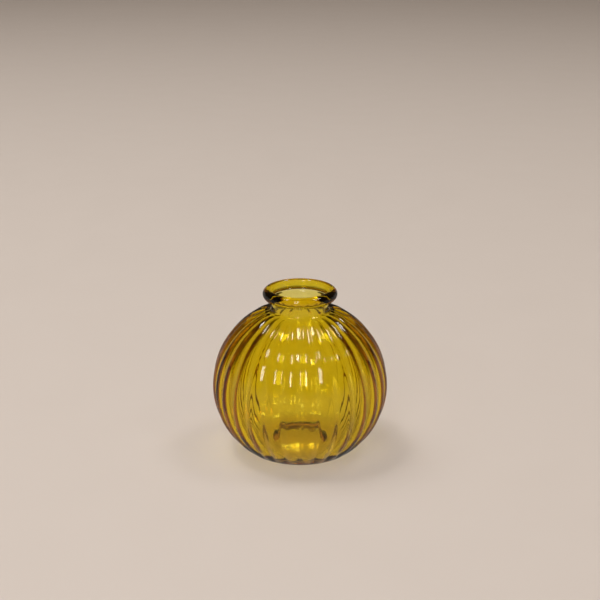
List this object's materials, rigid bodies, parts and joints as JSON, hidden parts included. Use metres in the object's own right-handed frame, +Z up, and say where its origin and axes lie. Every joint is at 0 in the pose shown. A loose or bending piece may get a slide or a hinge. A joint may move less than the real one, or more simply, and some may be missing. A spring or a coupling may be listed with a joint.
{
  "type": "glass bud vase",
  "caption": "Squat globe bud vase in clear amber glass, with vertical convex ribs, a short neck, a rolled rim and a base pushed up in a low dome.",
  "frame": {"origin": "centre of the resting plane, on the vase's axis", "axes": "+Z up along the vase's axis; a rib valley faces straight ahead along -Y"},
  "size_m": [0.0844, 0.0844, 0.0815],
  "materials": {
    "amber_glass": "gloss"
  },
  "bodies": {
    "root": {"base": "amber_glass", "heel": "amber_glass", "body_lower": "amber_glass", "body_upper": "amber_glass", "shoulder": "amber_glass", "neck": "amber_glass", "rim": "amber_glass"}
  },
  "joints": []
}
